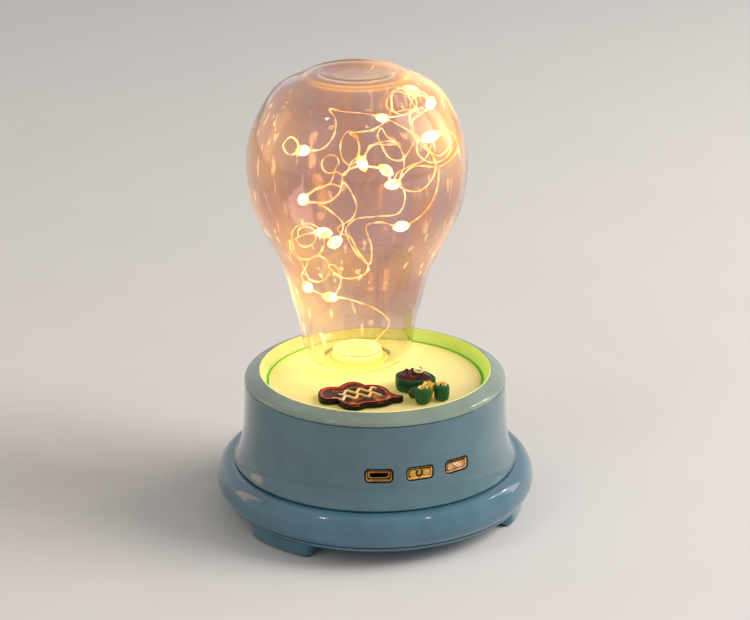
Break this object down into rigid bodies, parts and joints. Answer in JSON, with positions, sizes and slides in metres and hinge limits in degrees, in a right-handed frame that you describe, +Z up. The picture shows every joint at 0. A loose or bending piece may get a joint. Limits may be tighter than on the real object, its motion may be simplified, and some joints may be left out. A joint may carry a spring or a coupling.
{
  "type": "speaker lamp",
  "caption": "Round plastic base with a downward loudspeaker, a lit dish and an upturned glass bulb that holds a string of small lights; press buttons and a charging socket in front.",
  "frame": {"origin": "on the base's vertical axis, on the surface that the lamp stands on", "axes": "+Z up along the base's axis, -Y out of the front with the socket and the buttons, +X to the right of someone who faces the front"},
  "size_m": [0.1204, 0.122, 0.1655],
  "materials": {
    "blue_plastic": "glossy light blue, injection moulded",
    "rubber": "matt",
    "steel": "plated",
    "lime_plastic": "translucent, lit from below",
    "cream_plastic": "satin, slightly translucent",
    "gold_trim": "gold plating on plastic",
    "black_plastic": "matt",
    "board": "solder mask on glass fibre",
    "ferrite": "matt",
    "cone_paper": "matt",
    "spider_cloth": "stiffened cloth",
    "copper": "enamelled winding",
    "cell_wrap": "shrink wrap over steel",
    "glass": "clear, polished",
    "lit_wire": "bare wire with clear resin beads",
    "red_lead": "satin",
    "black_lead": "satin",
    "plaque_black": "glossy enamel",
    "green_resin": "glossy cast resin",
    "brown_resin": "glossy cast resin",
    "cream_resin": "glossy cast resin",
    "yellow_resin": "glossy cast resin"
  },
  "bodies": {
    "lamp": {"base_ring": "blue_plastic", "battery_cell": "cell_wrap", "battery_cradle": "black_plastic", "battery_lead": "red_lead", "board_screw_left": "steel", "board_screw_right": "steel", "bottom_cover": "blue_plastic", "bulb_glass": "glass", "bulb_plug": "cream_plastic", "cloud_plaque": "plaque_black", "cone_spider": "spider_cloth", "cone_surround": "rubber", "control_board": "board", "cover_screw_left": "steel", "cover_screw_rear": "steel", "cover_screw_right": "steel", "dish_disc": "cream_plastic", "dish_liner": "lime_plastic", "fairy_string": "lit_wire", "foot_pad_left": "rubber", "foot_pad_rear": "rubber", "foot_pad_right": "rubber", "housing_shell": "blue_plastic", "mode_frame": "gold_trim", "mode_switch": "black_plastic", "ornament_bowl": "green_resin", "ornament_cup_left": "green_resin", "ornament_cup_right": "green_resin", "ornament_egg": "green_resin", "ornament_flake": "yellow_resin", "ornament_mound": "brown_resin", "ornament_ring": "cream_resin", "plug_collar": "cream_plastic", "plug_nut": "cream_plastic", "power_frame": "gold_trim", "power_switch": "black_plastic", "radio_module": "steel", "socket_frame": "gold_trim", "speaker_basket": "black_plastic", "speaker_gasket": "rubber", "speaker_grille": "steel", "speaker_lead": "black_lead", "speaker_magnet": "ferrite", "speaker_screw_1": "steel", "speaker_screw_2": "steel", "speaker_screw_3": "steel", "speaker_screw_4": "steel", "speaker_top_plate": "steel", "speaker_yoke": "steel", "top_bezel": "blue_plastic", "usb_socket": "steel", "usb_tongue": "black_plastic"},
    "power_button": {"power_button": "gold_trim", "power_plunger": "black_plastic"},
    "mode_button": {"mode_button": "gold_trim", "mode_plunger": "black_plastic"},
    "speaker_cone": {"speaker_cone": "cone_paper", "dust_cap": "cone_paper", "voice_coil": "copper"}
  },
  "joints": [
    {"name": "power_button_press", "type": "slide", "parent": "lamp", "child": "power_button", "axis": [0, 1, 0], "range_m": [0, 0.0004], "stiffness_N_per_m": 600, "springref_m": -0.0004},
    {"name": "mode_button_press", "type": "slide", "parent": "lamp", "child": "mode_button", "axis": [-0.3024, 0.9532, 0], "range_m": [0, 0.0004], "stiffness_N_per_m": 600, "springref_m": -0.0004},
    {"name": "speaker_cone_travel", "type": "slide", "parent": "lamp", "child": "speaker_cone", "axis": [0, 0, 1], "range_m": [-0.0008, 0.0008], "stiffness_N_per_m": 1500, "deforming": ["cone_surround", "cone_spider"]}
  ]
}
